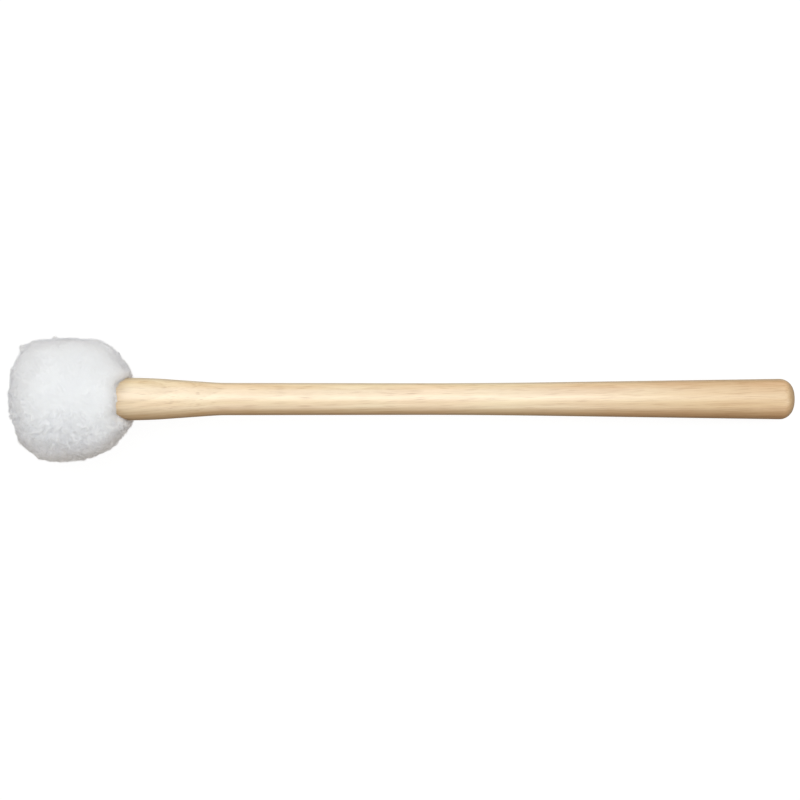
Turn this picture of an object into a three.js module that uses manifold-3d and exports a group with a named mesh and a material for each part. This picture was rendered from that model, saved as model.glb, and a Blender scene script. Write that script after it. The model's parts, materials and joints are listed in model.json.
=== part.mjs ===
// A marching bass drum mallet: a turned hickory handle with a fleece head tied over a felt core.
// Lengths are in millimetres and +Z is up. The mallet lies as it is laid down between uses: the
// fleece and the rim of the butt touch the table at z = 0, so the handle slopes down from the head.
// "Along" is measured on the handle's axis, from the front of the head towards the butt.

import * as THREE from "three";
import { mergeVertices } from "three/addons/utils/BufferGeometryUtils.js";
import Module from "manifold-3d";

// All turned pieces, and the small gap between pieces that touch on the real mallet
const turnedSides = 36;
const bendSteps = 4;
const seatGap = 0.3;

// Felt core
const coreDiameter = 41;
const coreLength = 30.2;
const coreEdgeRound = 9;

// Handle, from the spigot to the butt
const spigotDiameter = 11;
const spigotChamfer = 1;
const shoulderRound = 2.5;
const barrelDiameter = 19.4;
const barrelLength = 23.9;
const barrelEase = 9.5;
const taperLength = 32.9;
const neckDiameter = 14.74;
const neckEase = 3.6;
const waistLength = 117;
const waistDiameter = 14.44;
const waistEase = 32;
const gripLength = 141.5;
const buttDiameter = 18.7;
const buttRoundLength = 6.2;
const buttFlatDiameter = 6;

// Tie thread
const threadDiameter = 0.8;
const threadSpacing = 0.45;
const threadTurns = 3;
const threadSides = 6;
const stepsPerTurn = 24;
const stepsPerBend = 4;

// Fleece cover
const sideDepth = 8;
const frontDepth = 8;
const gatherDepth = 2.5;
const cuffThickness = 1.2;
const cuffEndGap = 1;
const mouthLength = 4.65;
const lipDepth = 3.2;
const lipWidth = 2.6;
const frontExponent = 2.7;
const rearExponent = 1.8;
const bulgeSteps = 11;
const restFlatDepth = 0.5;

// Radii and places that follow from the sizes above
const coreRadius = coreDiameter / 2;
const coreFront = frontDepth;
const coreRear = coreFront + coreLength;
const shoulder = coreRear + seatGap;
const barrelRadius = barrelDiameter / 2;
const taperStart = shoulder + barrelLength;
const taperEnd = taperStart + taperLength;
const waistEnd = taperEnd + waistLength;
const gripEnd = waistEnd + gripLength;
const malletLength = gripEnd + buttRoundLength;
const cuffRadius = barrelRadius + seatGap;
const cuffOutside = cuffRadius + cuffThickness;
const threadLineRadius = cuffOutside + seatGap + threadDiameter / 2;
const pocketRadius = threadLineRadius + threadDiameter / 2 + seatGap;
const threadPitch = threadDiameter + threadSpacing;
const threadTail = threadDiameter;
const threadBend = threadDiameter;
const pocketFront = shoulder + gatherDepth;
const windingStart = pocketFront + seatGap + threadTail + threadBend;
const windingEnd = windingStart + threadTurns * threadPitch;
const pocketRear = windingEnd + threadBend + threadTail + seatGap;
const mouthEnd = pocketRear + mouthLength;
const headLength = mouthEnd + lipDepth;
const headMiddle = headLength / 2;
const headRadius = coreRadius + sideDepth;
const lipRadius = cuffRadius + lipWidth;

const point = (radius, along) => new THREE.Vector2(radius, along);

// A turned piece: its outline goes round the axis, with the middle of a side facing the table.
function turn(outline) {
  return new THREE.LatheGeometry(outline, turnedSides, Math.PI / turnedSides);
}

// Straight legs through the corners, each corner eased into a bend that starts one reach before it.
function easedLegs(outline, start, corners, end) {
  outline.lineTo(start.x, start.y);
  corners.forEach(({ at, ease }, i) => {
    const before = i ? corners[i - 1].at : start;
    const after = i + 1 < corners.length ? corners[i + 1].at : end;
    const reach = Math.min(ease, at.distanceTo(before) / 2, at.distanceTo(after) / 2);
    const entry = at.clone().lerp(before, reach / at.distanceTo(before));
    const exit = at.clone().lerp(after, reach / at.distanceTo(after));
    outline.lineTo(entry.x, entry.y);
    outline.quadraticCurveTo(at.x, at.y, exit.x, exit.y);
  });
  outline.lineTo(end.x, end.y);
}

// Handle: one piece of hickory. The spigot fills the bore of the core, whose rear face sits on the
// shoulder. Behind it come the round barrel, the taper, the slim waist and the flared grip.
function handleOutline() {
  const spigotRadius = spigotDiameter / 2;
  const buttRadius = buttDiameter / 2;
  const buttFlatRadius = buttFlatDiameter / 2;
  const round = Math.min(shoulderRound, barrelRadius - spigotRadius);
  const outline = new THREE.Path();
  outline.moveTo(0, coreFront);
  outline.lineTo(spigotRadius - spigotChamfer, coreFront);
  outline.lineTo(spigotRadius, coreFront + spigotChamfer);
  outline.lineTo(spigotRadius, shoulder);
  outline.absarc(barrelRadius - round, shoulder + round, round, -Math.PI / 2, 0);
  const corners = [
    { at: point(barrelRadius, taperStart), ease: barrelEase },
    { at: point(neckDiameter / 2, taperEnd), ease: neckEase },
    { at: point(waistDiameter / 2, waistEnd), ease: waistEase },
  ];
  easedLegs(outline, point(barrelRadius, shoulder + round), corners, point(buttRadius, gripEnd));
  outline.absellipse(buttFlatRadius, gripEnd, buttRadius - buttFlatRadius, buttRoundLength, 0, Math.PI / 2);
  outline.lineTo(0, malletLength);
  return outline.getPoints(bendSteps);
}

// Felt core: a hard puck of pressed wool felt with rounded edges and a bore for the spigot.
function coreOutline() {
  const boreRadius = spigotDiameter / 2 + seatGap;
  const edge = coreRadius - coreEdgeRound;
  const outline = new THREE.Path();
  outline.moveTo(boreRadius, coreFront);
  outline.lineTo(edge, coreFront);
  outline.absarc(edge, coreFront + coreEdgeRound, coreEdgeRound, -Math.PI / 2, 0);
  outline.absarc(edge, coreRear - coreEdgeRound, coreEdgeRound, 0, Math.PI / 2);
  outline.lineTo(boreRadius, coreRear);
  outline.lineTo(boreRadius, coreFront);
  return outline.getPoints(bendSteps);
}

// A quarter of the head's swollen form, from the given inner radius on its end face to its widest part.
function bulge(innerRadius, endAlong, exponent) {
  const points = [];
  for (let step = 0; step <= bulgeSteps; step++) {
    const angle = (step / bulgeSteps) * (Math.PI / 2);
    const radius = innerRadius + (headRadius - innerRadius) * Math.sin(angle) ** (2 / exponent);
    const along = headMiddle + (endAlong - headMiddle) * Math.cos(angle) ** (2 / exponent);
    points.push(point(radius, along));
  }
  return points;
}

// Fleece cover: drawn over the core from the front. Inside it follows the core, then its plain cuff
// runs onto the barrel under the thread, and the pile folds back over the thread as a soft lip.
function coverOutline() {
  const edge = coreRadius - coreEdgeRound;
  const round = coreEdgeRound + seatGap;
  const inside = new THREE.Path();
  inside.moveTo(0, coreFront - seatGap);
  inside.lineTo(edge, coreFront - seatGap);
  inside.absarc(edge, coreFront + coreEdgeRound, round, -Math.PI / 2, 0);
  inside.absarc(edge, coreRear - coreEdgeRound, round, 0, Math.PI / 2);
  inside.lineTo(cuffRadius, shoulder);
  inside.lineTo(cuffRadius, pocketRear - cuffEndGap);
  inside.lineTo(cuffOutside, pocketRear - cuffEndGap);
  inside.lineTo(cuffOutside, pocketFront);
  inside.lineTo(pocketRadius, pocketFront);
  inside.lineTo(pocketRadius, pocketRear);
  inside.lineTo(cuffRadius, pocketRear);
  inside.lineTo(cuffRadius, mouthEnd);
  inside.absellipse(lipRadius, mouthEnd, lipWidth, lipDepth, Math.PI, Math.PI / 2, true);
  const rear = bulge(lipRadius, headLength, rearExponent);
  const front = bulge(0, 0, frontExponent).reverse();
  return [...inside.getPoints(bendSteps), ...rear.slice(1), ...front.slice(1)].reverse();
}

// Tie thread: one unbroken thread wound round the cuff. Its line is drawn on the unrolled cuff, as
// distance round and along, and each tail turns off to run straight into the fleece in front or behind.
function threadLine() {
  const slope = Math.atan2(threadPitch, 2 * Math.PI * threadLineRadius);
  const steps = threadTurns * stepsPerTurn;
  const line = [point(0, pocketFront + seatGap)];
  for (let step = 0; step <= stepsPerBend; step++) {
    const angle = (step / stepsPerBend) * (Math.PI / 2 - slope);
    const around = threadBend * (1 - Math.cos(angle));
    line.push(point(around, windingStart - threadBend + threadBend * Math.sin(angle)));
  }
  const first = line.at(-1);
  const last = point(
    first.x + threadTurns * 2 * Math.PI * threadLineRadius,
    first.y + threadTurns * threadPitch,
  );
  for (let step = 1; step <= steps; step++) {
    line.push(first.clone().lerp(last, step / steps));
  }
  const bendStart = line.slice(1, stepsPerBend + 1).reverse();
  bendStart.forEach((p) => line.push(point(last.x + first.x - p.x, last.y + first.y - p.y)));
  line.push(point(last.x + first.x, pocketRear - seatGap));
  return line;
}

function threadGeometry() {
  const line = threadLine();
  const rings = line.map((here, i) => {
    const way = line[Math.min(i + 1, line.length - 1)].clone().sub(line[Math.max(i - 1, 0)]).normalize();
    const angle = here.x / threadLineRadius;
    const out = new THREE.Vector3(Math.sin(angle), 0, Math.cos(angle));
    const round = new THREE.Vector3(Math.cos(angle), 0, -Math.sin(angle));
    const side = round.multiplyScalar(-way.y).setY(way.x);
    const centre = out.clone().multiplyScalar(threadLineRadius).setY(here.y);
    return Array.from({ length: threadSides }, (_, k) => {
      const turn = (k / threadSides) * 2 * Math.PI;
      const offset = out.clone().multiplyScalar(Math.cos(turn)).addScaledVector(side, Math.sin(turn));
      return centre.clone().addScaledVector(offset, threadDiameter / 2);
    });
  });
  console.log(`least gap of tie_thread to itself: ${leastGap(rings).toFixed(2)} mm`);
  return closedTube(rings);
}

// The smallest distance between points of the tube that lie at least half a turn apart on its line.
function leastGap(rings) {
  let least = Infinity;
  rings.forEach((ring, i) => {
    for (const other of rings.slice(i + stepsPerTurn / 2)) {
      for (const a of ring) {
        for (const b of other) least = Math.min(least, a.distanceTo(b));
      }
    }
  });
  return least;
}

// Skins a row of rings and closes both ends with a fan.
function closedTube(rings) {
  const sides = rings[0].length;
  const positions = rings.flat().flatMap((p) => p.toArray());
  const faces = [];
  for (let i = 0; i + 1 < rings.length; i++) {
    for (let k = 0; k < sides; k++) {
      const a = i * sides + k;
      const b = i * sides + ((k + 1) % sides);
      faces.push(a, a + sides, b, b, a + sides, b + sides);
    }
  }
  const lastRing = (rings.length - 1) * sides;
  for (let k = 1; k + 1 < sides; k++) {
    faces.push(0, k, k + 1, lastRing, lastRing + k + 1, lastRing + k);
  }
  const geometry = new THREE.BufferGeometry();
  geometry.setAttribute("position", new THREE.Float32BufferAttribute(positions, 3));
  geometry.setIndex(faces);
  geometry.computeVertexNormals();
  return geometry;
}

// How far an outline reaches below the height of the axis at the head's front, for a given slope.
function reachBelow(outline, slope) {
  const sideShare = Math.cos(Math.PI / turnedSides);
  return Math.max(...outline.map((p) => p.y * Math.sin(slope) + p.x * sideShare * Math.cos(slope)));
}

// The slope at which the butt's rim touches the table while the fleece is pressed flat to its depth.
function lyingSlope(headOutline, stickOutline) {
  const halvings = 40;
  let low = 0;
  let high = Math.PI / 4;
  for (let i = 0; i < halvings; i++) {
    const slope = (low + high) / 2;
    const headHigher = reachBelow(headOutline, slope) - restFlatDepth > reachBelow(stickOutline, slope);
    if (headHigher) low = slope;
    else high = slope;
  }
  return low;
}

const wasm = await Module();
wasm.setup();

function toSolid(geometry) {
  const bare = geometry.clone();
  bare.deleteAttribute("normal");
  bare.deleteAttribute("uv");
  const merged = mergeVertices(bare);
  const corners = merged.index.array;
  const triangles = [];
  for (let i = 0; i < corners.length; i += 3) {
    const [a, b, c] = corners.slice(i, i + 3);
    if (a !== b && b !== c && c !== a) triangles.push(a, b, c);
  }
  const mesh = new wasm.Mesh({
    numProp: 3,
    vertProperties: merged.attributes.position.array,
    triVerts: new Uint32Array(triangles),
  });
  return new wasm.Manifold(mesh);
}

function toGeometry(solid) {
  const { vertProperties, triVerts } = solid.getMesh();
  const geometry = new THREE.BufferGeometry();
  geometry.setAttribute("position", new THREE.BufferAttribute(vertProperties, 3));
  geometry.setIndex(new THREE.BufferAttribute(triVerts, 1));
  geometry.computeVertexNormals();
  return geometry;
}

// The fleece is pressed flat where it lies on the table: all of it below z = 0 is cut away.
function pressedFlat(geometry) {
  const size = malletLength;
  const below = new THREE.BoxGeometry(2 * size, size, size).translate(0, 0, -size / 2);
  return toGeometry(toSolid(geometry).subtract(toSolid(below)));
}

function piece(name, geometry, look) {
  const mesh = new THREE.Mesh(geometry, new THREE.MeshStandardMaterial(look));
  mesh.name = name;
  return mesh;
}

const stick = handleOutline();
const cover = coverOutline();
const slope = lyingSlope(cover, stick);

// The turned pieces share one group, whose Y axis is laid down the sloping handle.
const onAxis = new THREE.Group();
onAxis.position.z = reachBelow(stick, slope);
onAxis.rotation.set(0, slope, -Math.PI / 2);
onAxis.add(
  piece("handle", turn(stick), { color: "#dcc194", roughness: 0.35, metalness: 0 }),
  piece("felt_core", turn(coreOutline()), { color: "#e4ddcf", roughness: 1, metalness: 0 }),
  piece("tie_thread", threadGeometry(), { color: "#f1efe8", roughness: 0.7, metalness: 0 }),
);
onAxis.updateMatrix();

const fleece = pressedFlat(turn(cover).applyMatrix4(onAxis.matrix));
const mallet = new THREE.Group();
mallet.add(onAxis, piece("fleece_cover", fleece, { color: "#e9ebec", roughness: 1, metalness: 0 }));

const extent = new THREE.Box3().setFromObject(mallet, true);
mallet.position.x = -(extent.min.x + extent.max.x) / 2;

export default mallet;
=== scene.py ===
import json
import math

import bpy
import numpy as np
from mathutils import Euler, Matrix, Vector, noise


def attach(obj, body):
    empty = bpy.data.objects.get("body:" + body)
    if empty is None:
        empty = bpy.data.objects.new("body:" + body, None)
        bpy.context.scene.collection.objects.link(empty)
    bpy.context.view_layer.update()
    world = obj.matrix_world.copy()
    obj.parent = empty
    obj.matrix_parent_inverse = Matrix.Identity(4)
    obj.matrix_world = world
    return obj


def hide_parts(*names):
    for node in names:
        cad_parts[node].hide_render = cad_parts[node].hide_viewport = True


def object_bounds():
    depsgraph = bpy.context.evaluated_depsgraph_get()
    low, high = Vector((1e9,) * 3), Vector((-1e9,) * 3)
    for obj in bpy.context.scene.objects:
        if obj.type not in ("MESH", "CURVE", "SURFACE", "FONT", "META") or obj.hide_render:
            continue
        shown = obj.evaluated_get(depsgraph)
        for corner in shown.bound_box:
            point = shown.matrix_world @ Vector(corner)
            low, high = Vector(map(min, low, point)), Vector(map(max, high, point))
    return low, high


# A marching bass drum mallet: a turned hickory handle with a round fleece head, laid down as it lies
# between uses. Everything is in metres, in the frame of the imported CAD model.
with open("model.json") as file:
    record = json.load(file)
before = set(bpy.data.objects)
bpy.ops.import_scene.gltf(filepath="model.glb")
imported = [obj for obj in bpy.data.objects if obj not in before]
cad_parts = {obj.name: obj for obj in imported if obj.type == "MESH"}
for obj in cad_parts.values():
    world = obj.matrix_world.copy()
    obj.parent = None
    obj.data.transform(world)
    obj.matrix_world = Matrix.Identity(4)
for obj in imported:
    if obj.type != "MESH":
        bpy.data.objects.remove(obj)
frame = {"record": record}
cad_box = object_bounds()


# Handle
# One piece of hickory, turned between centres, sanded and lacquered. A spigot carries the core, the round
# barrel's shoulder stops it, and behind come a taper, a slim waist and a flared grip with a rounded butt.
mm = 0.001
seat_gap = 0.3 * mm
core_front = 8 * mm
core_length = 30.2 * mm
spigot_radius = 5.5 * mm
spigot_chamfer = 1 * mm
shoulder = core_front + core_length + seat_gap
shoulder_round = 2.5 * mm
barrel_radius = 9.7 * mm
barrel_end = shoulder + 23.9 * mm
barrel_ease = 9.5 * mm
neck = barrel_end + 32.9 * mm
neck_radius = 7.37 * mm
neck_ease = 3.6 * mm
waist_end = neck + 117 * mm
waist_radius = 7.22 * mm
waist_ease = 32 * mm
grip_end = waist_end + 141.5 * mm
butt_radius = 9.35 * mm
butt_round = 6.2 * mm
butt_flat = 3 * mm
mallet_length = grip_end + butt_round
turned_sides = 144
weld_distance = 0.001 * mm
crease_angle = math.radians(50)

# The mallet's own axis, from the front of the head to the middle of the butt, as the CAD model lies
butt_end = next(m for m in frame["record"]["mounts"] if m["name"] == "butt_end")
axis_way = Vector(butt_end["axis"]).normalized()
head_front = Vector(butt_end["pos_m"]) - mallet_length * axis_way
slope = math.atan2(-axis_way.z, axis_way.x)
lying = Matrix.LocRotScale(head_front, Euler((0, slope, 0)), None)


def put(tree, kind, sockets=None, **settings):
    """Adds a node. Its sockets, by name or place, take a value or the output that feeds them."""
    node = tree.nodes.new(kind)
    for name, value in settings.items():
        setattr(node, name, value)
    there = [s for s in node.inputs if s.enabled]
    for name, value in (sockets or {}).items():
        socket = there[name] if isinstance(name, int) else next(s for s in there if s.name == name)
        if isinstance(value, bpy.types.NodeSocket):
            tree.links.new(value, socket)
        else:
            socket.default_value = value
    return node


def reckon(tree, operation, *values):
    """A sum of numbers, as one Math node."""
    return put(tree, "ShaderNodeMath", dict(enumerate(values)), operation=operation).outputs[0]


def times(tree, a, b):
    """The product of two numbers."""
    return reckon(tree, "MULTIPLY", a, b)


def split(tree, vector):
    """A vector's X, Y and Z."""
    return put(tree, "ShaderNodeSeparateXYZ", {0: vector}).outputs


def reckon_vector(tree, operation, *values):
    """A sum of vectors, as one Vector Math node. Its number comes out for dot products and lengths."""
    node = put(tree, "ShaderNodeVectorMath", operation=operation)
    there = [s for s in node.inputs if s.enabled]
    for socket, value in zip(there, values):
        if isinstance(value, bpy.types.NodeSocket):
            tree.links.new(value, socket)
        else:
            socket.default_value = value
    return node.outputs["Value" if operation in ("DOT_PRODUCT", "LENGTH") else "Vector"]


def ramp(tree, value, low, high, to_low=0.0, to_high=1.0):
    """Eases from one value to another while the input goes from low to high."""
    sockets = {"Value": value, "From Min": low, "From Max": high, "To Min": to_low, "To Max": to_high}
    return put(tree, "ShaderNodeMapRange", sockets, interpolation_type="SMOOTHSTEP").outputs["Result"]


def blend(tree, share, a, b, kind="RGBA", how="MIX"):
    """Blends two colours, or two vectors."""
    settings = {"blend_type": how} if kind == "RGBA" else {}
    node = put(tree, "ShaderNodeMix", {"Factor": share, "A": a, "B": b}, data_type=kind, **settings)
    return next(s for s in node.outputs if s.enabled)


def open_tree(name, kind, inputs, outputs):
    """A node group with named sockets. Gives the tree, its input node's outputs and its output node."""
    tree = bpy.data.node_groups.new(name, kind)
    for label, socket_type in inputs:
        tree.interface.new_socket(name=label, in_out="INPUT", socket_type=socket_type)
    for label, socket_type in outputs:
        tree.interface.new_socket(name=label, in_out="OUTPUT", socket_type=socket_type)
    return tree, tree.nodes.new("NodeGroupInput").outputs, tree.nodes.new("NodeGroupOutput")


def store(tree, geometry, name, value, kind="FLOAT", domain="POINT"):
    """Marks the geometry with a named attribute."""
    sockets = {"Geometry": geometry, "Name": name, "Value": value}
    node = put(tree, "GeometryNodeStoreNamedAttribute", sockets, data_type=kind, domain=domain)
    return node.outputs[0]


def sample(tree, geometry, vector, index):
    """A vector of the point that has that index in another geometry."""
    sockets = {"Geometry": geometry, "Value": vector, "Index": index}
    node = put(tree, "GeometryNodeSampleIndex", sockets, data_type="FLOAT_VECTOR", domain="POINT")
    return node.outputs[0]


def finish_tree(tree, geometry, material, result):
    """Ends a tree: smooth, real and in its material."""
    sockets = {"Geometry": geometry, "Shade Smooth": True}
    smooth = put(tree, "GeometryNodeSetShadeSmooth", sockets).outputs[0]
    real = put(tree, "GeometryNodeRealizeInstances", {"Geometry": smooth}).outputs[0]
    dressed = put(tree, "GeometryNodeSetMaterial", {"Geometry": real, "Material": material}).outputs[0]
    tree.links.new(dressed, result.inputs[0])


def grow(name, mesh, tree, values):
    """Runs a Geometry Nodes tree on a mesh, and gives an object that holds the plain result."""
    piece = bpy.data.objects.new(name, mesh)
    bpy.context.scene.collection.objects.link(piece)
    grower = piece.modifiers.new("grow", "NODES")
    grower.node_group = tree
    for item in tree.interface.items_tree:
        if item.in_out == "INPUT" and item.name in values:
            grower[item.identifier] = values[item.name]
    graph = bpy.context.evaluated_depsgraph_get()
    made = bpy.data.meshes.new_from_object(piece.evaluated_get(graph))
    piece.modifiers.clear()
    piece.data = made
    made.name = name
    bpy.data.meshes.remove(mesh)
    return piece


def turning_tree():
    """Turns an outline, a row of points (along, 0, radius), round the X axis, with its own UV map."""
    number, whole, material = "NodeSocketFloat", "NodeSocketInt", "NodeSocketMaterial"
    tree, given, result = open_tree(
        "turned piece",
        "GeometryNodeTree",
        [("Outline", "NodeSocketGeometry"), ("Rings", whole), ("Sides", whole), ("Weld", number),
         ("Finish", material)],
        [("Geometry", "NodeSocketGeometry")],
    )
    columns = reckon(tree, "ADD", given["Sides"], 1)
    sheet = put(tree, "GeometryNodeMeshGrid", {"Vertices X": columns, "Vertices Y": given["Rings"]})
    index = put(tree, "GeometryNodeInputIndex").outputs[0]
    ring = reckon(tree, "MODULO", index, given["Rings"])
    side = reckon(tree, "FLOOR", reckon(tree, "DIVIDE", index, given["Rings"]))
    here = put(tree, "GeometryNodeInputPosition").outputs[0]
    at = sample(tree, given["Outline"], here, ring)
    part = split(tree, at)
    angle = times(tree, reckon(tree, "DIVIDE", side, given["Sides"]), math.tau)
    across = times(tree, part["Z"], reckon(tree, "SINE", angle))
    up = times(tree, part["Z"], reckon(tree, "COSINE", angle))
    place = put(tree, "ShaderNodeCombineXYZ", {"X": part["X"], "Y": across, "Z": up}).outputs[0]
    marked = store(tree, sheet.outputs["Mesh"], "OFBake", sheet.outputs["UV Map"], "FLOAT2", "CORNER")
    turned = put(tree, "GeometryNodeSetPosition", {"Geometry": marked, "Position": place}).outputs[0]
    welded = put(tree, "GeometryNodeMergeByDistance", {"Geometry": turned, "Distance": given["Weld"]})
    facing_out = put(tree, "GeometryNodeFlipFaces", {"Mesh": welded.outputs[0]}).outputs[0]
    finish_tree(tree, facing_out, given["Finish"], result)
    return tree


def turned(name, outline, finish, sides=turned_sides):
    """A turned piece from its outline, laid down on the mallet's sloping axis."""
    line = bpy.data.meshes.new(name)
    line.from_pydata([(along, 0, radius) for along, radius in outline], [], [])
    values = {"Rings": len(outline), "Sides": sides, "Weld": weld_distance, "Finish": finish}
    piece = grow(name, line, turning, values)
    piece.data.transform(lying)
    piece.data.set_sharp_from_angle(angle=crease_angle)
    return piece


def arc(centre, along_reach, radial_reach, start, end, steps):
    """Points of an elliptic arc on the outline, angles in degrees from the butt's way to outwards."""
    turns = [math.radians(start + (end - start) * i / steps) for i in range(steps + 1)]
    return [(centre[0] + along_reach * math.cos(t), centre[1] + radial_reach * math.sin(t)) for t in turns]


def eased(before, corner, after, longest, steps=10):
    """Points of the smooth bend that takes a corner off the outline."""
    b, c, a = Vector(before), Vector(corner), Vector(after)
    reach = min(longest, (c - b).length / 2, (a - c).length / 2)
    entry, leave = c.lerp(b, reach / (c - b).length), c.lerp(a, reach / (a - c).length)
    shares = [i / steps for i in range(steps + 1)]
    return [tuple(entry.lerp(c, share).lerp(c.lerp(leave, share), share)) for share in shares]


def handle_outline():
    """From the spigot's end face to the middle of the butt."""
    legs = [
        (shoulder + shoulder_round, barrel_radius),
        (barrel_end, barrel_radius),
        (neck, neck_radius),
        (waist_end, waist_radius),
        (grip_end, butt_radius),
    ]
    outline = [
        (core_front, 0),
        (core_front, spigot_radius - spigot_chamfer),
        (core_front + spigot_chamfer, spigot_radius),
        (shoulder, spigot_radius),
    ]
    rounded = (shoulder + shoulder_round, barrel_radius - shoulder_round)
    outline += arc(rounded, shoulder_round, shoulder_round, 180, 90, 8)
    for i, longest in enumerate([barrel_ease, neck_ease, waist_ease]):
        outline += eased(legs[i], legs[i + 1], legs[i + 2], longest)
    outline += arc((grip_end, butt_flat), butt_round, butt_radius - butt_flat, 90, 0, 14)
    return outline + [(mallet_length, 0)]


def open_material(name):
    """A material with its Principled shader and nothing else."""
    material = bpy.data.materials.new(name)
    material.use_nodes = True
    tree = material.node_tree
    tree.nodes.clear()
    shader = tree.nodes.new("ShaderNodeBsdfPrincipled")
    out = tree.nodes.new("ShaderNodeOutputMaterial")
    tree.links.new(shader.outputs[0], out.inputs["Surface"])
    return material, tree, shader


def mallet_coordinates(tree):
    """Object coordinates turned onto the mallet's axis and counted in millimetres."""
    objects = put(tree, "ShaderNodeTexCoord").outputs["Object"]
    sockets = {"Vector": objects, "Location": head_front, "Rotation": (0, slope, 0), "Scale": (mm, mm, mm)}
    return put(tree, "ShaderNodeMapping", sockets, vector_type="TEXTURE").outputs[0]


def stretched(tree, vector, scale, turn=(0, 0, 0)):
    """The same coordinates at another scale along and across, and turned a little."""
    sockets = {"Vector": vector, "Scale": scale, "Rotation": turn}
    return put(tree, "ShaderNodeMapping", sockets, vector_type="POINT").outputs[0]


def cloud(tree, vector, scale=1.0, detail=2.0, roughness=0.5, w=0.0):
    """Soft noise from 0 to 1."""
    sockets = {"Vector": vector, "W": w, "Scale": scale, "Detail": detail, "Roughness": roughness}
    return put(tree, "ShaderNodeTexNoise", sockets, noise_dimensions="4D").outputs[0]


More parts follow.
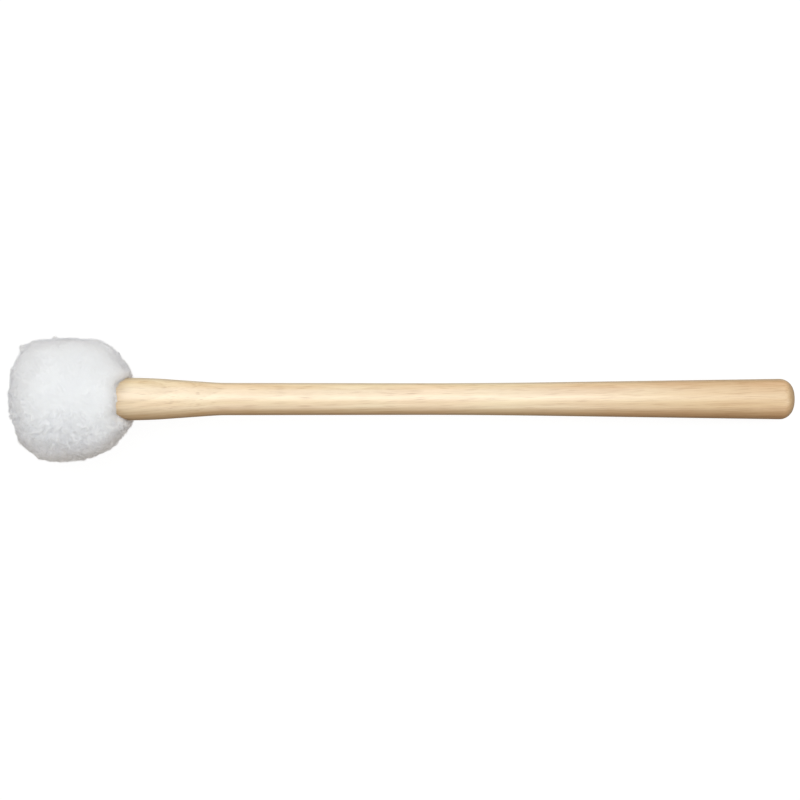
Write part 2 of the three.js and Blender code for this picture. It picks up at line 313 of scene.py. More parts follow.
def hickory_finish():
    """Pale hickory under satin lacquer: slanting growth rings, open pores in rows and warm patches,
    with painted shade on its lower side, at its edges and towards the butt.
    """
    material, tree, shader = open_material("lacquered hickory")
    at = mallet_coordinates(tree)
    along, across = split(tree, at)[:2]
    grain_slant = (0, math.radians(1.1), math.radians(-1.6))
    grain = stretched(tree, at, (1, 1, 1), grain_slant)

    # Growth rings: their centre lies outside the stick, and each starts with a porous, darker band
    pith = (0, 36.0, 58.0)
    ring_width, ring_waver = 2.3, 7.0
    wander = cloud(tree, stretched(tree, grain, (0.012, 0.05, 0.05)), detail=2)
    flat = reckon_vector(tree, "MULTIPLY", reckon_vector(tree, "ADD", grain, pith), (0, 1, 1))
    out = reckon_vector(tree, "LENGTH", flat)
    out = reckon(tree, "ADD", out, times(tree, wander, ring_waver))
    phase = reckon(tree, "FRACT", reckon(tree, "DIVIDE", out, ring_width))
    band = times(tree, ramp(tree, phase, 0.0, 0.12), ramp(tree, phase, 0.2, 0.85, 1, 0))

    # Patches, long streaks, the rings' bands, and fine dashes that show more on the browner grip
    patch = cloud(tree, stretched(tree, grain, (0.02, 0.09, 0.09)), detail=1, w=9)
    streak = cloud(tree, stretched(tree, grain, (0.012, 0.6, 0.6)), detail=2, w=4)
    fine = cloud(tree, stretched(tree, grain, (0.05, 2.6, 2.6)), detail=3, roughness=0.6)
    dashes = cloud(tree, stretched(tree, grain, (0.07, 1.5, 1.5)), detail=3, roughness=0.65, w=6)
    grip_tone_and_shade = ramp(tree, along, 200, 350)
    fine_share = reckon(tree, "ADD", 0.5, times(tree, grip_tone_and_shade, 0.35))
    cream = (0.945, 0.79, 0.54, 1)
    honey = (0.89, 0.70, 0.43, 1)
    rose = (0.935, 0.72, 0.49, 1)
    tan = (0.66, 0.46, 0.26, 1)
    grip_brown_and_shade = (0.81, 0.715, 0.635, 1)
    colour = blend(tree, ramp(tree, patch, 0.35, 0.68), cream, rose)
    colour = blend(tree, ramp(tree, streak, 0.4, 0.7, 0, 0.5), colour, honey)
    colour = blend(tree, times(tree, band, 0.25), colour, tan)
    colour = blend(tree, ramp(tree, fine, 0.48, 0.72, 0, fine_share), colour, tan)
    colour = blend(tree, ramp(tree, dashes, 0.52, 0.72, 0, 0.42), colour, tan)
    # Towards the butt the wood is browner: partly its own tone, partly painted shade where less light
    # falls
    colour = blend(tree, grip_tone_and_shade, colour, grip_brown_and_shade, how="MULTIPLY")

    # Round the stick, from 1 on the side towards the light to -1 on the side away from it: where a tint
    # starts, where it is full, and the tint. All are painted shade: the lower half a touch warmer and
    # darker, the lower side much darker, and a thin darker rim at both edges
    thick = reckon_vector(tree, "LENGTH", reckon_vector(tree, "MULTIPLY", at, (0, 1, 1)))
    round_way = reckon(tree, "DIVIDE", across, thick)
    painted_shades = [
        (0.5, -0.1, (1.0, 0.99, 0.93, 1)),
        (-0.3, -0.96, (0.53, 0.45, 0.41, 1)),
        (-0.84, -0.98, (0.78, 0.8, 0.82, 1)),
        (0.84, 1.0, (0.78, 0.84, 0.91, 1)),
    ]
    for starts, full, tint in painted_shades:
        colour = blend(tree, ramp(tree, round_way, starts, full), colour, tint, how="MULTIPLY")

    # Open pores: short thin dashes, most of them in the porous bands
    pore_brown = (0.48, 0.28, 0.125, 1)
    sockets = {"Vector": stretched(tree, grain, (0.08, 2.6, 2.6)), "Scale": 1.0}
    cells = put(tree, "ShaderNodeTexVoronoi", sockets, feature="F1").outputs
    chance = put(tree, "ShaderNodeSeparateColor", {0: cells["Color"]}).outputs[0]
    rare = ramp(tree, reckon(tree, "ADD", chance, times(tree, band, 0.35)), 0.62, 1.0)
    pore = times(tree, ramp(tree, cells["Distance"], 0.1, 0.42, 1, 0), rare)
    colour = blend(tree, times(tree, pore, 0.75), colour, pore_brown)

    # The rounded butt is darker: partly end grain, which soaks up more lacquer, partly painted shade where
    # the end turns away from the light
    end_grain_and_shade = (0.34, 0.24, 0.145, 1)
    darker_from, darkest = 354.5, 359.2
    colour = blend(tree, ramp(tree, along, darker_from, darkest, 0, 0.85), colour, end_grain_and_shade)
    tree.links.new(colour, shader.inputs["Base Color"])

    relief = reckon(tree, "SUBTRACT", times(tree, fine, 0.3), pore)
    bump = put(tree, "ShaderNodeBump", {"Height": relief, "Strength": 0.25, "Distance": 0.03 * mm})
    tree.links.new(bump.outputs[0], shader.inputs["Normal"])
    tree.links.new(ramp(tree, fine, 0.3, 0.7, 0.38, 0.5), shader.inputs["Roughness"])
    # The lacquer shines where the wood faces the eye, less on the grip, where hands have dulled it
    facing = put(tree, "ShaderNodeLayerWeight", {"Blend": 0.5}).outputs["Facing"]
    dulled = ramp(tree, along, 240, 330, 1.0, 0.5)
    gloss = times(tree, ramp(tree, facing, 0.05, 0.42, 0.88, 0.04), dulled)
    tree.links.new(gloss, shader.inputs["Coat Weight"])
    shader.inputs["Coat Roughness"].default_value = 0.4
    shader.inputs["Coat IOR"].default_value = 2.8
    shader.inputs["Specular IOR Level"].default_value = 0.05
    return material


turning = turning_tree()
handle = turned("turned_handle", handle_outline(), hickory_finish())
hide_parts("handle")
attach(handle, "root")


# Felt core
# A hard puck of pressed wool felt with rounded edges, bored through. It is glued on the spigot against
# the barrel's shoulder, and the fleece hides it.
core_radius = 20.5 * mm
core_edge = 9 * mm
core_bore = spigot_radius + seat_gap
core_sides = 96
felt_pale, felt_deep = (0.80, 0.76, 0.68, 1), (0.66, 0.61, 0.52, 1)


def core_outline():
    """Round the puck, from the front of its bore over both rounded edges and back through the bore."""
    edge, rear = core_radius - core_edge, core_front + core_length
    outline = [(core_front, core_bore)]
    outline += arc((core_front + core_edge, edge), core_edge, core_edge, 180, 90, 12)
    outline += arc((rear - core_edge, edge), core_edge, core_edge, 90, 0, 12)
    return outline + [(rear, core_bore), (core_front, core_bore)]


def mottle_group():
    """Matted fibres: a soft mottle of two tones, and the height that goes with it."""
    tree, given, result = open_tree(
        "fibre mottle",
        "ShaderNodeTree",
        [("At", "NodeSocketVector"), ("Scale", "NodeSocketFloat"), ("Contrast", "NodeSocketFloat"),
         ("Pale", "NodeSocketColor"), ("Deep", "NodeSocketColor")],
        [("Color", "NodeSocketColor"), ("Height", "NodeSocketFloat")],
    )
    broad = cloud(tree, given["At"], given["Scale"], detail=3, roughness=0.6)
    finer = times(tree, given["Scale"], 6.0)
    hairs = cloud(tree, given["At"], finer, detail=3, roughness=0.7, w=3)
    share = times(tree, ramp(tree, broad, 0.35, 0.7), given["Contrast"])
    tree.links.new(blend(tree, share, given["Pale"], given["Deep"]), result.inputs["Color"])
    rise, fuzz = times(tree, broad, 0.6), times(tree, hairs, 0.4)
    tree.links.new(reckon(tree, "ADD", rise, fuzz), result.inputs["Height"])
    return tree


def matted_finish(name, pale, deep, scale, contrast, bump_depth, sheen, roughness=0.95):
    """A finish of matted fibres, in two tones."""
    material, tree, shader = open_material(name)
    group = tree.nodes.new("ShaderNodeGroup")
    group.node_tree = mottle
    tree.links.new(mallet_coordinates(tree), group.inputs["At"])
    for label, value in {"Scale": scale, "Contrast": contrast, "Pale": pale, "Deep": deep}.items():
        group.inputs[label].default_value = value
    tree.links.new(group.outputs["Color"], shader.inputs["Base Color"])
    sockets = {"Height": group.outputs["Height"], "Strength": 0.6, "Distance": bump_depth}
    bump = put(tree, "ShaderNodeBump", sockets)
    tree.links.new(bump.outputs[0], shader.inputs["Normal"])
    shader.inputs["Roughness"].default_value = roughness
    shader.inputs["Specular IOR Level"].default_value = 0.2
    shader.inputs["Sheen Weight"].default_value = sheen
    shader.inputs["Sheen Roughness"].default_value = 0.6
    return material


mottle = mottle_group()
felt = matted_finish("pressed wool felt", felt_pale, felt_deep, scale=0.9, contrast=0.8,
                     bump_depth=0.3 * mm, sheen=0.3)
core = turned("felt_puck", core_outline(), felt, core_sides)
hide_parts("felt_core")
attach(core, "root")


# Tie thread
# Waxed thread of two strands laid together, wound three times round the cuff to hold the cover on the
# barrel. Each tail turns off to run straight into the fleece in front or behind.
cuff_thickness = 1.2 * mm
gather_depth = 2.5 * mm
thread_radius = 0.4 * mm
thread_pitch = 2 * thread_radius + 0.45 * mm
thread_turns = 3
thread_lay = 2.4 * mm
strand_crease = 0.34
wax_pale, wax_deep = (0.86, 0.84, 0.78, 1), (0.72, 0.69, 0.61, 1)
cuff_radius = barrel_radius + seat_gap
cuff_outside = cuff_radius + cuff_thickness
winding_radius = cuff_outside + seat_gap + thread_radius
pocket_radius = winding_radius + thread_radius + seat_gap
pocket_front = shoulder + gather_depth
winding_start = pocket_front + seat_gap + 4 * thread_radius
winding_end = winding_start + thread_turns * thread_pitch
pocket_rear = winding_end + seat_gap + 4 * thread_radius


def thread_tree():
    """Lays a two-strand thread along a line of points, twisted as it goes."""
    number = "NodeSocketFloat"
    tree, given, result = open_tree(
        "laid thread",
        "GeometryNodeTree",
        [("Line", "NodeSocketGeometry"), ("Radius", number), ("Lay Length", number),
         ("Finish", "NodeSocketMaterial")],
        [("Geometry", "NodeSocketGeometry")],
    )
    line = put(tree, "GeometryNodeMeshToCurve", {"Mesh": given["Line"]}).outputs[0]
    step = reckon(tree, "DIVIDE", given["Lay Length"], 12.0)
    line = put(tree, "GeometryNodeResampleCurve", {"Curve": line, "Length": step}, mode="LENGTH")
    length = put(tree, "GeometryNodeSplineParameter").outputs["Length"]
    twist = times(tree, reckon(tree, "DIVIDE", length, given["Lay Length"]), math.tau)
    tilted = put(tree, "GeometryNodeSetCurveTilt", {"Curve": line.outputs[0], "Tilt": twist}).outputs[0]
    ring = put(tree, "GeometryNodeCurvePrimitiveCircle", {"Resolution": 14, "Radius": 1.0}, mode="RADIUS")
    here = put(tree, "GeometryNodeInputPosition").outputs[0]
    upper = split(tree, here)["Y"]
    # Two strands side by side: the outline is pulled in where they meet
    drawn_in = times(tree, reckon(tree, "POWER", upper, 4.0), strand_crease)
    pinch = reckon(tree, "SUBTRACT", 1.0, drawn_in)
    lobes = reckon_vector(tree, "SCALE", here, times(tree, pinch, given["Radius"]))
    section = put(tree, "GeometryNodeSetPosition", {"Geometry": ring.outputs[0], "Position": lobes})
    sockets = {"Curve": tilted, "Profile Curve": section.outputs[0], "Fill Caps": True}
    tube = put(tree, "GeometryNodeCurveToMesh", sockets).outputs[0]
    finish_tree(tree, tube, given["Finish"], result)
    return tree


def thread_line():
    """The thread's line, drawn on the unrolled cuff as (distance round, along), then rolled up."""
    reach = 2 * thread_radius
    rise = math.atan2(thread_pitch, math.tau * winding_radius)
    bend = math.radians(90) - rise
    steps = 8
    flat = [(0, pocket_front + seat_gap)]
    for i in range(steps + 1):
        turn = bend * i / steps
        flat.append((reach * (1 - math.cos(turn)), winding_start - reach + reach * math.sin(turn)))
    first, tail = flat[-1], flat[:-1]
    last = (first[0] + thread_turns * math.tau * winding_radius, first[1] + thread_turns * thread_pitch)
    laps = 64 * thread_turns
    flat += [(first[0] + (last[0] - first[0]) * i / laps, first[1] + (last[1] - first[1]) * i / laps)
             for i in range(1, laps + 1)]
    flat += [(last[0] + first[0] - a, last[1] + first[1] - b) for a, b in reversed(tail)]
    rolled = []
    for round_way, along in flat:
        angle = round_way / winding_radius
        rolled.append((along, -winding_radius * math.sin(angle), winding_radius * math.cos(angle)))
    return rolled


points = thread_line()
line = bpy.data.meshes.new("tie line")
line.from_pydata(points, [(i, i + 1) for i in range(len(points) - 1)], [])
waxed = matted_finish("waxed thread", wax_pale, wax_deep, scale=2.2, contrast=0.7,
                      bump_depth=0.05 * mm, sheen=0.1, roughness=0.55)
values = {"Radius": thread_radius, "Lay Length": thread_lay, "Finish": waxed}
tie = grow("wound_tie", line, thread_tree(), values)
tie.data.transform(lying)
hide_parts("tie_thread")
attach(tie, "root")


# Fleece cover
# One piece of thick white fleece, pulled over the core from the front with its pile outside. Its plain
# knitted cuff is gathered on the barrel under the thread, and the pile folds back over the tie as a lip.
fleece_thickness = 8 * mm
head_radius = core_radius + fleece_thickness
mouth = pocket_rear + 4.65 * mm
lip_depth = 3.2 * mm
lip_width = 2.6 * mm
lip_radius = cuff_radius + lip_width
head_length = mouth + lip_depth
head_middle = head_length / 2
front_fullness = 2.7
rear_fullness = 1.8
wood_clearance = 0.05 * mm
cuff_end_gap = 1 * mm
pile_stand = 0.95 * mm
lip_stand = 0.9 * mm
mouth_stand = 0.7 * mm
fleece_sides = 400
fleece_rings = 220
pile_sectors = 8

# The underfur's relief: broad swells, soft puffs on them, and small tufts on those
swell_size, swell_height = 17 * mm, 1.1 * mm
puff_size, puff_height = 6.8 * mm, 1.7 * mm
tuft_size, tuft_height = 3.1 * mm, 0.7 * mm
puff_streaks, tuft_streaks = 1.25, 0.8
puff_top, puff_fall = 0.16, 0.7
outward_hang = 1.3
across_streak, along_streak = 5.5, 1.3
table_clearance = 0.6 * mm

# Where the head was pulled in or stands out, seen from above: pixels across and down in the
# photograph, how far it stands out, and how far round it reaches, both in millimetres
mallet_pixels = 785
pixel = mallet_length / mallet_pixels
middle_pixel = (400.5, 399.4)
dents = [
    (20, 446, -0.6, 9),
    (14, 357, -2.2, 7),
    (76, 338, -0.8, 8),
    (96, 340, 1.7, 4.5),
    (112, 347, 1.3, 3.5),
    (124, 355, -1.1, 7),
    (131, 371, -2.3, 11),
    (127, 434, -3.4, 12),
    (10, 419, -3.4, 7.5),
    (8, 392, -2.9, 6.5),
    (28, 343, 1.5, 6),
    (15, 362, -2.0, 4),
    (27, 450, -0.3, 6),
    (109, 449, -1.2, 3.5),
    (54, 339, -0.5, 5),
    (54, 338, 2.1, 1.2),
    (22, 349, 3.2, 2.0),
    (10, 403, 2.2, 1.2),
    (15, 433, 2.4, 1.6),
    (20, 442, 2.2, 1.7),
    (38, 457, 1.8, 1.6),
]


def head_quarter(inner_radius, end, fullness, steps=90):
    """A quarter of the head's swollen form, from its end face to its widest part."""
    points = []
    for i in range(steps + 1):
        turn = math.pi / 2 * i / steps
        radius = inner_radius + (head_radius - inner_radius) * math.sin(turn) ** (2 / fullness)
        points.append((head_middle + (end - head_middle) * math.cos(turn) ** (2 / fullness), radius))
    return points


def evenly(line, count):
    """The same line with its points spread evenly."""
    line = np.array(line)
    run = np.concatenate([[0], np.cumsum(np.linalg.norm(np.diff(line, axis=0), axis=1))])
    steps = np.linspace(0, run[-1], count)
    return np.stack([np.interp(steps, run, line[:, 0]), np.interp(steps, run, line[:, 1])], axis=1)


def cover_outside():
    """The silhouette, from the middle of the front round the lip to the mouth on the handle."""
    front = head_quarter(0, 0, front_fullness)
    rear = head_quarter(lip_radius, head_length, rear_fullness)[::-1]
    snug = lip_radius - barrel_radius - wood_clearance
    lip = arc((mouth, lip_radius), lip_depth, -snug, 0, 90, 30)
    return evenly(front + rear[1:] + lip[1:], fleece_rings)


def cover_inside():
    """The hidden side, from the mouth along the barrel, round the tie, and over the core to its front."""
    edge = core_radius - core_edge
    round_off = core_edge + seat_gap
    cuff_end = pocket_rear - cuff_end_gap
    inside = [
        (pocket_rear, cuff_radius), (pocket_rear, pocket_radius), (pocket_front, pocket_radius),
        (pocket_front, cuff_outside), (cuff_end, cuff_outside), (cuff_end, cuff_radius),
        (shoulder, cuff_radius),
    ]
    inside += arc((core_front + core_length - core_edge, edge), round_off, round_off, 0, 90, 10)
    inside += arc((core_front + core_edge, edge), round_off, round_off, 90, 180, 10)
    return inside + [(core_front - seat_gap, 0)]


# The side that lies uppermost is brushed smoother than the rest
smooth_way = Vector((0, 0.6, 0.8))
brushed_flat = 0.7

# Over the handle's upper side the mouth is parted: the lip stops there, just behind the tie
parting_stop = pocket_rear + 1.0 * mm
parting_half = 6 * mm
parting_rise = 3.8 * mm
parting_low, parting_high = -5 * mm, 6 * mm
parting_blend, parting_spread = 1 * mm, 0.36
parting_flat = 0.6
wall_over_tie, wall_behind_tie = 0.6 * mm, 0.5 * mm


def ease(value, low, high):
    """Eases from 0 to 1 while the value goes from low to high."""
    share = min(max((value - low) / (high - low), 0), 1)
    return share * share * (3 - 2 * share)


def parted(at):
    """How far the fleece's rear is held back there, at (along, across, up), and how far it is raised."""
    rearwards = max(0, (at.x - head_middle) / (head_length - head_middle))
    blended = parting_blend + parting_spread * math.hypot(at.y, at.z)
    opened = 1 - ease(abs(at.y), parting_half, parting_half + blended)
    opened *= ease(at.z, parting_low, parting_high)
    return (head_length - parting_stop) * rearwards**4 * opened, parting_rise * rearwards**2 * opened


# The same noise in every run
noise.seed_set(3)


def puffs(p, size, streaks):
    """How far a soft puff of that size stands out at p: low round tops that meet in creases, each
    combed into streaks that hang outwards more or less."""
    apart, centres = noise.voronoi(p / size)
    top = puff_top - puff_fall * apart[0] ** 2
    off = p / size - centres[0]
    outwards = Vector((centres[0].x * size - head_middle, centres[0].y * size, 0)).normalized()
    comb = (noise.noise_vector(centres[0] * 3.7).normalized() + outward_hang * outwards).normalized()
    run = off.dot(comb)
    strand = noise.noise((off - run * comb) * across_streak + comb * run * along_streak + centres[0] * 9)
    return top + streaks * strand * max(0, 1 - 1.2 * apart[0])


def fleece_body():
    """The underfur as one closed solid, up to where the pile stands clear of it. It is marked with how
    far the pile stands there, how much it is combed back, how tufted it is, and its sector."""
    outside = cover_outside()
    way = np.gradient(outside, axis=0)
    way /= np.linalg.norm(way, axis=1)[:, None]
    out = np.stack([-way[:, 1], way[:, 0]], axis=1)
    out[0] = (-1, 0)
    out = out.tolist()
    from_mouth = 1 - np.arange(fleece_rings) / (fleece_rings - 1)
    run = from_mouth * np.linalg.norm(np.diff(outside, axis=0), axis=1).sum()
    stand = np.interp(run, [0, 4 * mm, 12 * mm], [mouth_stand, lip_stand, pile_stand]).tolist()
    reach = np.interp(run, [0, 2.5 * mm, 8 * mm], [0, 0.55, 1.0]).tolist()
    reach_in = np.interp(run, [0, 3 * mm], [0, 1]).tolist()
    comb = np.interp(run, [0, 2 * mm, 8 * mm], [1.1, 0.6, 0]).tolist()

    verts, stands, combs, tufts, faces, sectors = [], [], [], [], [], []
    for ring, (along, radius) in enumerate(outside.tolist()):
        for side in range(fleece_sides if radius > 0 else 1):
            angle = math.tau * side / fleece_sides
            round_way = Vector((0, math.sin(angle), math.cos(angle)))
            at = Vector((along, 0, 0)) + radius * round_way
            normal = Vector((out[ring][0], 0, 0)) + out[ring][1] * round_way
            tufted = 1 - brushed_flat * ease(normal.dot(smooth_way), 0.35, 0.8)
            puffed = puff_height * puffs(at, puff_size, puff_streaks)
            swell = puffed + tuft_height * puffs(at, tuft_size, tuft_streaks)
            swell = swell_height * noise.noise(at / swell_size) + tufted * swell
            held_back, raised = parted(at)
            stand_here = stand[ring] * (1 - parting_flat * ease(held_back, 2 * mm, 5 * mm))
            at += Vector((-held_back, 0, raised * ease(at.z, barrel_radius, head_radius)))
            seen = lying @ at
            for across, down, amount, spread in dents:
                x, y = (across - middle_pixel[0]) * pixel, (middle_pixel[1] - down) * pixel
                apart = (seen - Vector((x, y, head_front.z))).length
                swell += amount * mm * math.exp(-((apart / (spread * mm)) ** 2))
            at += normal * (swell * reach[ring] - stand_here * reach_in[ring])
            if held_back and math.hypot(at.y, at.z) < pocket_radius + wall_over_tie:
                at.x = max(at.x, pocket_rear + wall_behind_tie)
            verts.append(at)
            stands.append(stand_here)
            combs.append(comb[ring])
            tufts.append(tufted)
    outer_count = len(verts)
    inside = cover_inside()
    for along, radius in inside:
        for side in range(fleece_sides if radius > 0 else 1):
            angle = math.tau * side / fleece_sides
            verts.append(Vector((along, radius * math.sin(angle), radius * math.cos(angle))))
            stands.append(0.0)
            combs.append(0.0)
            tufts.append(0.0)

    start = 1
    rows = (fleece_rings - 1) + (len(inside) - 1)
    for side in range(fleece_sides):
        after = (side + 1) % fleece_sides
        sector = side * pile_sectors // fleece_sides
        faces.append((0, start + side, start + after))
        sectors.append(sector)
        for row in range(rows - 1):
            a = start + row * fleece_sides
            faces.append((a + side, a + fleece_sides + side, a + fleece_sides + after, a + after))
            sectors.append(sector if row < fleece_rings - 2 else -1)
        a = start + (rows - 1) * fleece_sides
        faces.append((a + side, len(verts) - 1, a + after))
        sectors.append(-1)
    mesh = bpy.data.meshes.new("underfur")
    mesh.from_pydata(verts, [], faces)
    for name, values in {"stand": stands, "comb": combs, "tufted": tufts}.items():
        mesh.attributes.new(name, "FLOAT", "POINT").data.foreach_set("value", values)
    mesh.attributes.new("sector", "INT", "FACE").data.foreach_set("value", sectors)
    mesh.transform(lying)
    mesh.shade_smooth()
    for vertex in mesh.vertices[:outer_count]:
        vertex.co.z = max(vertex.co.z, table_clearance)
    return mesh


def painted_shade_share(tree, at):
    """Painted warm shade, low on the side away from the light and down towards the table: from 0 to 1 by
    the place.
    """
    apart = reckon_vector(tree, "SUBTRACT", at, (0, 0, head_front.z))
    return ramp(tree, reckon_vector(tree, "DOT_PRODUCT", apart, (0, -0.6, -0.8)), -5 * mm, 16 * mm)


def underfur_finish():
    """Dense white wool that light wanders a long way into."""
    pale, deep = (0.90, 0.918, 0.973, 1), (0.855, 0.87, 0.915, 1)
    material = matted_finish("white underfur", pale, deep, scale=0.35, contrast=0.4,
                             bump_depth=0.3 * mm, sheen=0.6)
    tree = material.node_tree
    soft = tree.nodes["Principled BSDF"].inputs
    white = soft["Base Color"].links[0].from_socket
    share = painted_shade_share(tree, put(tree, "ShaderNodeTexCoord").outputs["Object"])
    # Painted warm shade on the lower side, multiplied into the white
    tree.links.new(blend(tree, share, white, painted_shade_tinge, how="MULTIPLY"), soft["Base Color"])
    soft["Subsurface Weight"].default_value = 1.0
    soft["Subsurface Radius"].default_value = (1, 1, 1)
    soft["Subsurface Scale"].default_value = 4 * mm
    return material


painted_shade_tinge = (0.93, 0.90, 0.855, 1)
underfur = bpy.data.objects.new("fleece_body", fleece_body())
bpy.context.scene.collection.objects.link(underfur)
underfur.data.materials.append(underfur_finish())

# The pile: the fleece's own fibres, thousands of them, knitted into its ground. They gather at the tips
# into small soft locks, lie against the handle at the mouth, and are pressed flat where the head rests.
fibre_count = 80000
fibre_radius = 0.022 * mm
lock_spacing = 3.2 * mm
lock_stray = 0.45
knee_share = 1.1
drifts_per_metre, drift_strength = 55.0, 5.0
shade_columns = 64
underfur_marks = ("stand", "comb", "tufted", "sector")


def fleece_area():
    """The area of the underfur's outside, where the pile grows."""
    faces = underfur.data.polygons
    sector = underfur.data.attributes["sector"].data
    return sum(f.area for f in faces if sector[f.index].value >= 0)


def pile_tree():
    """Grows one sector's fibres out of the underfur, gathers their tips in locks and keeps them clear
    of the table and the handle."""
    number, vector, whole = "NodeSocketFloat", "NodeSocketVector", "NodeSocketInt"
    tree, given, result = open_tree(
        "fleece pile",
        "GeometryNodeTree",
        [("Underfur", "NodeSocketGeometry"), ("Sector", whole), ("Fibres Per Area", number),
         ("Locks Per Area", number), ("Length", number), ("Radius", number), ("Gather", number),
         ("Lean", number), ("Stray", number), ("Crimp", number), ("Crimps Per Metre", number),
         ("Clear Height", number), ("Axis Start", vector), ("Axis Way", vector), ("Shoulder", number),
         ("Clear Radius", number), ("Seed", whole), ("Finish", "NodeSocketMaterial")],
        [("Geometry", "NodeSocketGeometry")],
    )

    def kept(name, kind="FLOAT"):
        return put(tree, "GeometryNodeInputNamedAttribute", {"Name": name}, data_type=kind).outputs[0]

    def chance(low, high, seed, kind="FLOAT"):
        sockets = {"Min": low, "Max": high, "Seed": seed}
        node = put(tree, "FunctionNodeRandomValue", sockets, data_type=kind)
        return next(s for s in node.outputs if s.enabled)

    def scaled(v, by):
        return reckon_vector(tree, "SCALE", v, by)

    def added(a, b):
        return reckon_vector(tree, "ADD", a, b)

    def less(a, b):
        return reckon_vector(tree, "SUBTRACT", a, b)

    def in_sector(other, operation):
        sockets = {0: kept("sector", "INT"), 1: other}
        return put(tree, "FunctionNodeCompare", sockets, data_type="INT", operation=operation).outputs[0]

    here = put(tree, "GeometryNodeInputPosition").outputs[0]
    piled = in_sector(0, "GREATER_EQUAL")
    mine = in_sector(given["Sector"], "EQUAL")

    def planted(selection, density, seed):
        """Points spread over the underfur, with their upright kept."""
        sockets = {"Mesh": given["Underfur"], "Selection": selection, "Density": density, "Seed": seed}
        spread = put(tree, "GeometryNodeDistributePointsOnFaces", sockets, distribute_method="RANDOM")
        return store(tree, spread.outputs["Points"], "upright", spread.outputs["Normal"], "FLOAT_VECTOR")

    # The way the pile leans: a slow drift over the head, with its part along the upright taken away
    sockets = {"Vector": here, "Scale": drifts_per_metre, "Detail": 1.0}
    drift = put(tree, "ShaderNodeTexNoise", sockets).outputs["Color"]
    drift = scaled(less(drift, (0.5, 0.5, 0.5)), drift_strength)
    upright = kept("upright", "FLOAT_VECTOR")

    def level(v):
        return less(v, scaled(upright, reckon_vector(tree, "DOT_PRODUCT", v, upright)))

    stand = times(tree, kept("stand"), given["Length"])

    def free_tip(wild, seed, shortest, longest):
        """Where a fibre or a lock would end by itself."""
        stray = chance((-1, -1, -1), (1, 1, 1), seed, "FLOAT_VECTOR")
        lean = added(scaled(drift, given["Lean"]), scaled(stray, wild))
        lean = added(lean, scaled(given["Axis Way"], kept("comb")))
        reach = times(tree, stand, chance(shortest, longest, reckon(tree, "ADD", seed, 1)))
        return added(here, scaled(added(upright, level(lean)), reach))

    locks = planted(piled, given["Locks Per Area"], 11)
    lock_tip = free_tip(lock_stray, seed=12, shortest=0.9, longest=1.1)
    locks = store(tree, locks, "tip", lock_tip, "FLOAT_VECTOR")
    fibres = planted(mine, given["Fibres Per Area"], given["Seed"])
    sockets = {"Geometry": locks, "Sample Position": here}
    nearest = put(tree, "GeometryNodeSampleNearest", sockets, domain="POINT").outputs[0]
    lock_tip = sample(tree, locks, kept("tip", "FLOAT_VECTOR"), nearest)
    own_tip = free_tip(given["Stray"], seed=21, shortest=0.8, longest=1.12)
    gather = times(tree, given["Gather"], kept("tufted"))
    tip = blend(tree, gather, own_tip, lock_tip, kind="VECTOR")
    fibres = store(tree, fibres, "root", here, "FLOAT_VECTOR")
    fibres = store(tree, fibres, "tip", tip, "FLOAT_VECTOR")
    knee = added(here, scaled(upright, times(tree, stand, knee_share)))
    fibres = store(tree, fibres, "knee", knee, "FLOAT_VECTOR")
    # The second half of the columns of shades is painted a warmer cream as shade, for fibres low on the
    # side away from the light
    half = shade_columns / 2
    in_shaded_half = reckon(tree, "LESS_THAN", chance(0.0, 1.0, 32), painted_shade_share(tree, here))
    column = reckon(tree, "FLOOR", chance(0.0, half - 0.01, 31))
    column = reckon(tree, "ADD", column, times(tree, in_shaded_half, half))
    fibres = store(tree, fibres, "column", column)

    # One fibre: a slim three-sided spike, closed at its root
    sockets = {"Vertices": 3, "Side Segments": 3, "Fill Segments": 1, "Radius Top": 0.0,
               "Radius Bottom": 1.0, "Depth": 1.0}
    spike = put(tree, "GeometryNodeMeshCone", sockets, fill_type="NGON").outputs["Mesh"]
    part = split(tree, here)
    spike = store(tree, spike, "height", part["Z"])
    side = reckon_vector(tree, "NORMALIZE", reckon_vector(tree, "MULTIPLY", here, (1, 1, 0)))
    spike = store(tree, spike, "side", side, "FLOAT_VECTOR")

    grown = put(tree, "GeometryNodeInstanceOnPoints", {"Points": fibres, "Instance": spike}).outputs[0]
    real = put(tree, "GeometryNodeRealizeInstances", {"Geometry": grown}).outputs[0]

    height = kept("height")
    root, knee, tip = (kept(name, "FLOAT_VECTOR") for name in ("root", "knee", "tip"))
    lower = blend(tree, height, root, knee, kind="VECTOR")
    upper = blend(tree, height, knee, tip, kind="VECTOR")
    middle = blend(tree, height, lower, upper, kind="VECTOR")
    sockets = {"Vector": middle, "Scale": given["Crimps Per Metre"], "Detail": 1.0}
    wave = less(put(tree, "ShaderNodeTexNoise", sockets).outputs["Color"], (0.5, 0.5, 0.5))
    middle = added(middle, scaled(wave, times(tree, height, given["Crimp"])))
    way = reckon_vector(tree, "NORMALIZE", less(tip, root))
    parts = split(tree, way)
    other = put(tree, "ShaderNodeCombineXYZ", {0: parts[1], 1: parts[2], 2: parts[0]}).outputs[0]
    first = reckon_vector(tree, "NORMALIZE", reckon_vector(tree, "CROSS_PRODUCT", way, other))
    second = reckon_vector(tree, "CROSS_PRODUCT", way, first)
    sides = split(tree, kept("side", "FLOAT_VECTOR"))
    taper = reckon(tree, "SUBTRACT", 1.0, times(tree, height, 0.5))
    thick = times(tree, given["Radius"], taper)
    off = scaled(added(scaled(first, sides[0]), scaled(second, sides[1])), thick)
    place = added(middle, off)

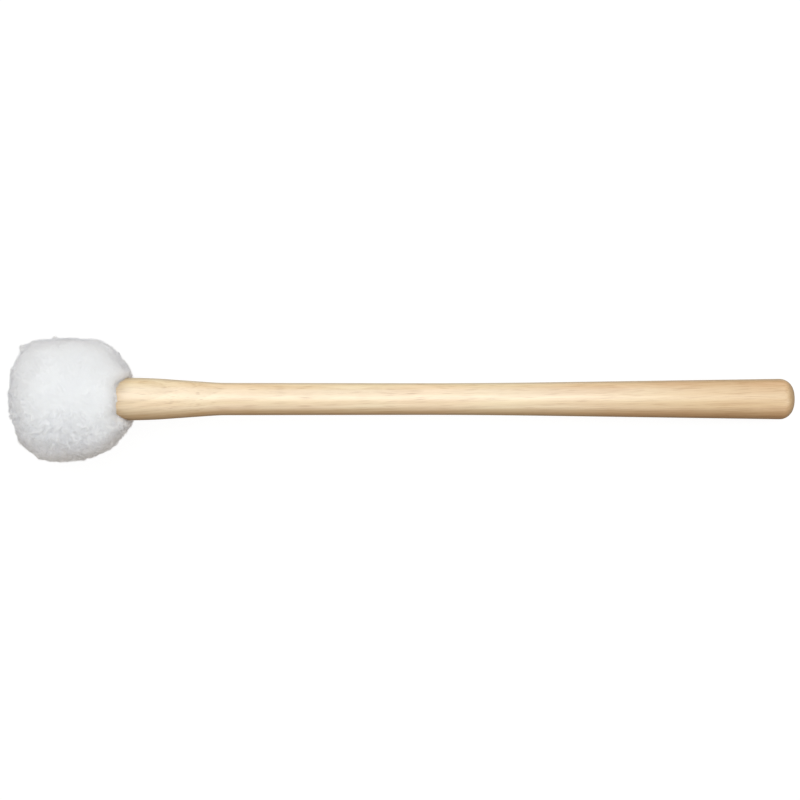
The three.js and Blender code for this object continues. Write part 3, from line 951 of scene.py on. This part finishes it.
    # Kept clear of the handle behind its shoulder, and of the table
    along = reckon_vector(tree, "DOT_PRODUCT", less(place, given["Axis Start"]), given["Axis Way"])
    foot = added(given["Axis Start"], scaled(given["Axis Way"], along))
    outwards = less(place, foot)
    far = reckon_vector(tree, "LENGTH", outwards)
    behind = reckon(tree, "GREATER_THAN", along, given["Shoulder"])
    least = reckon(tree, "MAXIMUM", far, times(tree, behind, given["Clear Radius"]))
    place = added(foot, scaled(reckon_vector(tree, "NORMALIZE", outwards), least))
    lifted = split(tree, place)
    lift = reckon(tree, "MAXIMUM", lifted["Z"], given["Clear Height"])
    place = put(tree, "ShaderNodeCombineXYZ", {0: lifted["X"], 1: lifted["Y"], 2: lift}).outputs[0]
    bent = put(tree, "GeometryNodeSetPosition", {"Geometry": real, "Position": place}).outputs[0]

    # Each fibre's strip of the UV map runs from root to tip, in one of the columns of shades
    spread = reckon(tree, "ADD", sides[0], times(tree, sides[1], 0.7))
    within = reckon(tree, "ADD", 0.5, times(tree, spread, 0.35))
    u = reckon(tree, "DIVIDE", reckon(tree, "ADD", kept("column"), within), float(shade_columns))
    start = reckon(tree, "ADD", 0.02, times(tree, sides[1], 0.008))
    v = reckon(tree, "ADD", times(tree, height, 0.96), start)
    uv = put(tree, "ShaderNodeCombineXYZ", {0: u, 1: v}).outputs[0]
    mapped = store(tree, bent, "OFBake", uv, "FLOAT2", "CORNER")
    for name in ("upright", "root", "tip", "knee", "column", "height", "side", *underfur_marks):
        mapped = put(tree, "GeometryNodeRemoveAttribute", {"Geometry": mapped, "Name": name}).outputs[0]
    finish_tree(tree, mapped, given["Finish"], result)
    return tree


def pile_finish():
    """White wool fibres, a touch deeper at the root, each column of the UV map its own shade."""
    material, tree, shader = open_material("white pile")
    uv = put(tree, "ShaderNodeUVMap", uv_map="OFBake").outputs[0]
    part = split(tree, uv)
    column = reckon(tree, "FLOOR", times(tree, part["X"], float(shade_columns)))
    shade = put(tree, "ShaderNodeTexWhiteNoise", {"W": column}, noise_dimensions="1D").outputs["Value"]
    root_white, tip_white, ivory = (0.875, 0.887, 0.92, 1), (0.915, 0.93, 0.978, 1), (0.93, 0.92, 0.90, 1)
    tone = blend(tree, ramp(tree, part["Y"], 0.0, 0.6), root_white, tip_white)
    tone = blend(tree, ramp(tree, shade, 0.4, 1.0, 0, 0.5), tone, ivory)
    # Fibres in the second half of the columns are painted a warmer cream as shade
    in_shaded_half = reckon(tree, "GREATER_THAN", column, shade_columns / 2 - 0.5)
    tone = blend(tree, in_shaded_half, tone, painted_shade_tinge, how="MULTIPLY")
    tree.links.new(tone, shader.inputs["Base Color"])
    shader.inputs["Roughness"].default_value = 0.9
    shader.inputs["Specular IOR Level"].default_value = 0.3
    shader.inputs["Sheen Weight"].default_value = 0.6
    shader.inputs["Sheen Roughness"].default_value = 0.5
    return material


pile = pile_tree()
pile_white = pile_finish()
area = fleece_area()
for sector in range(pile_sectors):
    values = {
        "Sector": sector,
        "Fibres Per Area": fibre_count / area,
        "Locks Per Area": 1 / lock_spacing**2,
        "Length": 1.0,
        "Radius": fibre_radius,
        "Gather": 0.75,
        "Lean": 0.8,
        "Stray": 1.1,
        "Crimp": 0.8 * mm,
        "Crimps Per Metre": 1 / (2.2 * mm),
        "Clear Height": 0.15 * mm,
        "Axis Start": head_front,
        "Axis Way": axis_way,
        "Shoulder": shoulder,
        "Clear Radius": cuff_radius,
        "Seed": 100 + sector,
        "Finish": pile_white,
    }
    tuft = grow(f"fleece_pile_{sector + 1}", underfur.data.copy(), pile, values)
    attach(tuft, "root")

for name in underfur_marks:
    underfur.data.attributes.remove(underfur.data.attributes[name])
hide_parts("fleece_cover")
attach(underfur, "root")


# Floor, light and camera
# The mallet lies on a plain white table under soft light, and the camera looks straight down on it.


def straight_to_eye(tree):
    """1 for what the camera sees directly."""
    return put(tree, "ShaderNodeLightPath").outputs["Is Camera Ray"]


def table():
    """A warm grey to the light, so that it lights the mallet from below, and white to the camera."""
    bpy.ops.mesh.primitive_plane_add(size=4)
    floor = bpy.context.object
    floor.name = "table"
    material = bpy.data.materials.new("white table")
    material.use_nodes = True
    tree = material.node_tree
    tree.nodes.clear()
    out = tree.nodes.new("ShaderNodeOutputMaterial")
    seen = straight_to_eye(tree)
    colour = blend(tree, seen, (0.49, 0.44, 0.38, 1), (0.14, 0.14, 0.14, 1))
    paint = put(tree, "ShaderNodeBsdfDiffuse", {"Color": colour})
    strength = times(tree, seen, 0.9)
    glow = put(tree, "ShaderNodeEmission", {"Color": (1, 1, 1, 1), "Strength": strength})
    both = put(tree, "ShaderNodeAddShader", {0: paint.outputs[0], 1: glow.outputs[0]}).outputs[0]
    tree.links.new(both, out.inputs["Surface"])
    floor.data.materials.append(material)


def surroundings(strength):
    """An even, slightly warm grey light all round that the camera sees as white."""
    world = bpy.data.worlds.new("white surroundings")
    bpy.context.scene.world = world
    world.use_nodes = True
    tree = world.node_tree
    tree.nodes.clear()
    seen = straight_to_eye(tree)
    level = reckon(tree, "ADD", strength, times(tree, seen, 1.0 - strength))
    tint = blend(tree, seen, (1.0, 0.965, 0.92, 1), (1, 1, 1, 1))
    glow = put(tree, "ShaderNodeBackground", {"Color": tint, "Strength": level}).outputs[0]
    tree.links.new(glow, tree.nodes.new("ShaderNodeOutputWorld").inputs["Surface"])


def softbox(name, place, width, depth, power):
    """A large lamp behind a diffuser, aimed at the mallet, which itself stays out of the picture."""
    lamp = bpy.data.lights.new(name, "AREA")
    lamp.shape = "RECTANGLE"
    lamp.size, lamp.size_y = width, depth
    lamp.energy = power
    lamp.color = (0.95, 0.98, 1.0)
    stand = bpy.data.objects.new(name, lamp)
    bpy.context.scene.collection.objects.link(stand)
    stand.location = place
    aim = Vector((0, 0, 0)) - Vector(place)
    stand.rotation_euler = aim.to_track_quat("-Z", "Y").to_euler()
    stand.visible_camera = False


table()
surroundings(0.55)
softbox("softbox above", (0.08, 0.3, 1.2), 2.4, 0.75, 9.2)
softbox("softbox beyond", (0.0, 1.3, 0.7), 1.6, 0.6, 3.0)
softbox("softbox in front", (0.25, -1.2, 0.8), 1.6, 0.6, 1.6)
softbox("softbox right", (1.2, -0.3, 0.7), 0.8, 0.6, 2.4)
softbox("softbox left", (-1.2, -0.1, 0.7), 0.8, 0.6, 1.3)

camera_height = 0.93
photo_width = 800
left_pixel, right_pixel, object_row = 8, 793, 399.1


def camera():
    """Looks straight down, with the head's front and the butt's end at their pixels of the photograph."""
    left, right = cad_box[0].x, cad_box[1].x
    left_depth, right_depth = camera_height - head_front.z, camera_height - butt_end["pos_m"][2]
    left_side, right_side = photo_width / 2 - left_pixel, right_pixel - photo_width / 2
    zoom = (left_side * left_depth + right_side * right_depth) / (right - left)
    data = bpy.data.cameras.new("camera")
    data.lens = data.sensor_width * zoom / photo_width
    eye = bpy.data.objects.new("camera", data)
    bpy.context.scene.collection.objects.link(eye)
    lift = (photo_width / 2 - object_row) * (camera_height - butt_end["pos_m"][2]) / zoom
    eye.location = (right - right_side * right_depth / zoom, -lift, camera_height)
    data.clip_start, data.clip_end = 0.01, 20
    bpy.context.scene.camera = eye


camera()
bpy.context.scene.view_settings.view_transform = "Standard"
# Light wanders a long way inside white fleece
bpy.context.scene.cycles.diffuse_bounces = 12
